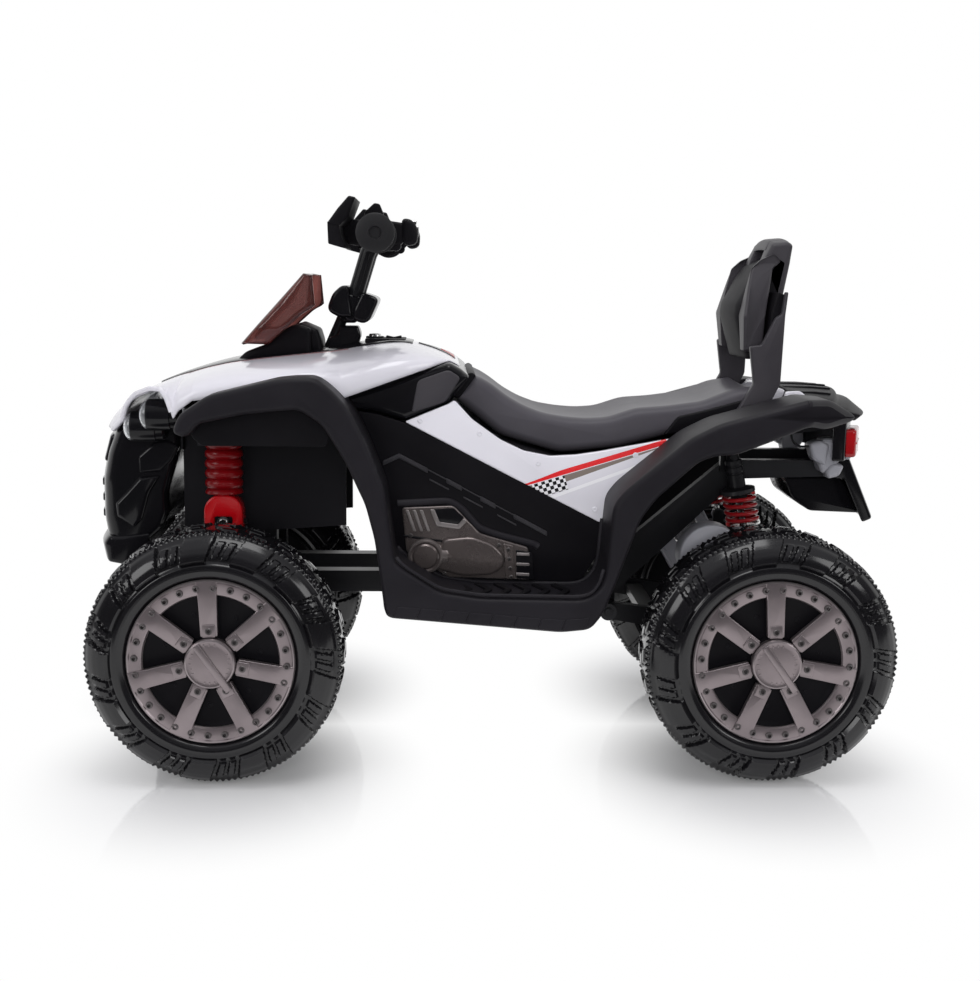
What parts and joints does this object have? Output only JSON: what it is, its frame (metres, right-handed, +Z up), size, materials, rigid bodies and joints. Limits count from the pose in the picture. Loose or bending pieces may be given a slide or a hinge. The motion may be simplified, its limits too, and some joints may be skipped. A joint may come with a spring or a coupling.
{
  "type": "kids quad bike",
  "caption": "Electric kids quad bike with sprung axles, handlebar steering, spoked wheels, fender surrounds with footboards, moulded seat and backrest.",
  "frame": {"origin": "on the ground under the middle of the bike's outline", "axes": "+X towards the rear, +Y towards the rider's right, +Z up"},
  "size_m": [1.112, 0.569, 0.764],
  "materials": {
    "white_panel": "gloss moulded plastic",
    "black_gloss": "gloss black plastic",
    "charcoal": "fine-grained charcoal plastic",
    "black_matte": "matt black plastic",
    "tyre_black": "semi-gloss moulded plastic",
    "bronze": "metallic bronze plastic",
    "pad": "soft-touch pad",
    "grip_rubber": "ribbed rubber",
    "black_steel": "black powder coat",
    "bare_steel": "bright steel",
    "red_plastic": "red plastic",
    "red_rubber": "red rubber",
    "red_spring": "red coated spring",
    "shock_black": "gloss black",
    "grey_plastic": "light grey plastic",
    "clear_lens": "clear lens",
    "red_lens": "red lamp lens",
    "rose_screen": "tinted translucent screen"
  },
  "bodies": {
    "chassis": {"chassis_frame": "black_matte", "body_tub": "black_matte", "fender_surround_left": "charcoal", "fender_surround_right": "charcoal", "side_covers": "white_panel", "engine_covers": "bronze", "hood": "white_panel", "dash_panel": "black_gloss", "windscreen": "rose_screen", "tank_shroud": "black_gloss", "nose_fascia": "black_gloss", "headlight_housings": "black_gloss", "headlight_lenses": "clear_lens", "front_bumper": "black_gloss", "seat": "charcoal", "backrest_brackets": "charcoal", "backrest_shell": "charcoal", "backrest_pad": "pad", "tail_cover": "white_panel", "rear_rack": "charcoal", "tail_lamps": "red_lens", "tail_lamp_housings": "grey_plastic", "plate_bracket": "black_matte", "battery": "black_matte", "control_box": "black_matte", "body_screws": "bare_steel", "tail_lamp_wires": "black_matte", "front_shock_tubes": "bare_steel", "front_shock_bellows": "red_rubber", "wheel_well_panels": "black_matte"},
    "steering": {"steering_shaft": "black_steel", "handlebar": "black_steel", "handlebar_clamp": "black_matte", "grips": "grip_rubber", "hand_guards": "black_matte", "switch_pods": "black_matte"},
    "horn": {"horn_button": "black_matte"},
    "start": {"start_button": "black_matte"},
    "direction": {"direction_switch": "black_matte"},
    "pedal": {"foot_pedal": "black_matte"},
    "front_axle": {"front_axle_beam": "black_steel", "front_shock_forks": "red_plastic"},
    "left_knuckle": {"knuckle_left": "black_steel"},
    "right_knuckle": {"knuckle_right": "black_steel"},
    "steering_link": {"tie_rod": "black_steel"},
    "swing_arm": {"rear_swing_arm": "black_steel", "rear_axle": "bare_steel", "gearboxes": "grey_plastic", "drive_motors": "grey_plastic"},
    "shock_cylinders": {"rear_shock_cylinders": "shock_black", "rear_shock_springs": "red_spring"},
    "shock_rods": {"rear_shock_rods": "bare_steel"},
    "front_left_wheel": {"wheel_front_left": "tyre_black", "wheel_cover_front_left": "bronze"},
    "front_right_wheel": {"wheel_front_right": "tyre_black", "wheel_cover_front_right": "bronze"},
    "rear_left_wheel": {"wheel_rear_left": "tyre_black", "wheel_cover_rear_left": "bronze"},
    "rear_right_wheel": {"wheel_rear_right": "tyre_black", "wheel_cover_rear_right": "bronze"}
  },
  "joints": [
    {"name": "steering_turn", "type": "hinge", "parent": "chassis", "child": "steering", "pos_m": [-0.215, 0, 0.6], "axis": [0.4003, 0, 0.9164], "range_deg": [-22, 22]},
    {"name": "front_suspension", "type": "slide", "parent": "chassis", "child": "front_axle", "axis": [0, 0, 1], "range_m": [-0.01, 0.02], "stiffness_N_per_m": 16000, "springref_m": -0.0075, "deforming": ["front_shock_bellows"]},
    {"name": "left_knuckle_turn", "type": "hinge", "parent": "front_axle", "child": "left_knuckle", "pos_m": [-0.366, -0.14, 0.17], "axis": [0, 0, 1], "range_deg": [-22, 22]},
    {"name": "right_knuckle_turn", "type": "hinge", "parent": "front_axle", "child": "right_knuckle", "pos_m": [-0.366, 0.14, 0.17], "axis": [0, 0, 1], "range_deg": [-22, 22]},
    {"name": "steering_link_turn", "type": "hinge", "parent": "left_knuckle", "child": "steering_link", "pos_m": [-0.316, -0.14, 0.188], "axis": [0, 0, 1], "range_deg": [-22, 22]},
    {"name": "rear_suspension", "type": "hinge", "parent": "chassis", "child": "swing_arm", "pos_m": [0.165, 0, 0.2], "axis": [0, -1, 0], "range_deg": [-3, 4], "stiffness_Nm_per_rad": 500, "springref_deg": -2.86, "deforming": ["rear_shock_springs"]},
    {"name": "shock_cylinder_tilt", "type": "hinge", "parent": "chassis", "child": "shock_cylinders", "pos_m": [0.336, 0, 0.42], "axis": [0, -1, 0], "range_deg": [-3, 3]},
    {"name": "shock_rod_tilt", "type": "hinge", "parent": "swing_arm", "child": "shock_rods", "pos_m": [0.358, 0, 0.306], "axis": [0, -1, 0], "range_deg": [-7, 6]},
    {"name": "horn_press", "type": "slide", "parent": "steering", "child": "horn", "axis": [-1, 0, 0], "range_m": [0, 0.0025], "stiffness_N_per_m": 500},
    {"name": "start_press", "type": "slide", "parent": "chassis", "child": "start", "axis": [0, 0, -1], "range_m": [0, 0.002], "stiffness_N_per_m": 500, "springref_m": -0.0008},
    {"name": "direction_rock", "type": "hinge", "parent": "chassis", "child": "direction", "pos_m": [-0.14, 0, 0.571], "axis": [0, 1, 0], "range_deg": [-8, 8]},
    {"name": "pedal_press", "type": "hinge", "parent": "chassis", "child": "pedal", "pos_m": [0.052, 0.199, 0.259], "axis": [0, -1, 0], "range_deg": [0, 10], "stiffness_Nm_per_rad": 4, "springref_deg": -5.73},
    {"name": "front_left_wheel_spin", "type": "hinge", "parent": "left_knuckle", "child": "front_left_wheel", "pos_m": [-0.366, -0.2185, 0.17], "axis": [0, 1, 0], "continuous": true},
    {"name": "front_right_wheel_spin", "type": "hinge", "parent": "right_knuckle", "child": "front_right_wheel", "pos_m": [-0.366, 0.2185, 0.17], "axis": [0, 1, 0], "continuous": true},
    {"name": "rear_left_wheel_spin", "type": "hinge", "parent": "swing_arm", "child": "rear_left_wheel", "pos_m": [0.366, -0.2185, 0.17], "axis": [0, 1, 0], "continuous": true},
    {"name": "rear_right_wheel_spin", "type": "hinge", "parent": "swing_arm", "child": "rear_right_wheel", "pos_m": [0.366, 0.2185, 0.17], "axis": [0, 1, 0], "continuous": true}
  ],
  "couplings": [
    {"joint": "left_knuckle_turn", "follows": "steering_turn", "ratio": 1},
    {"joint": "right_knuckle_turn", "follows": "steering_turn", "ratio": 1},
    {"joint": "steering_link_turn", "follows": "steering_turn", "ratio": -1},
    {"joint": "shock_cylinder_tilt", "follows": "rear_suspension", "ratio": -0.5815},
    {"joint": "shock_rod_tilt", "follows": "rear_suspension", "ratio": -1.5815}
  ]
}
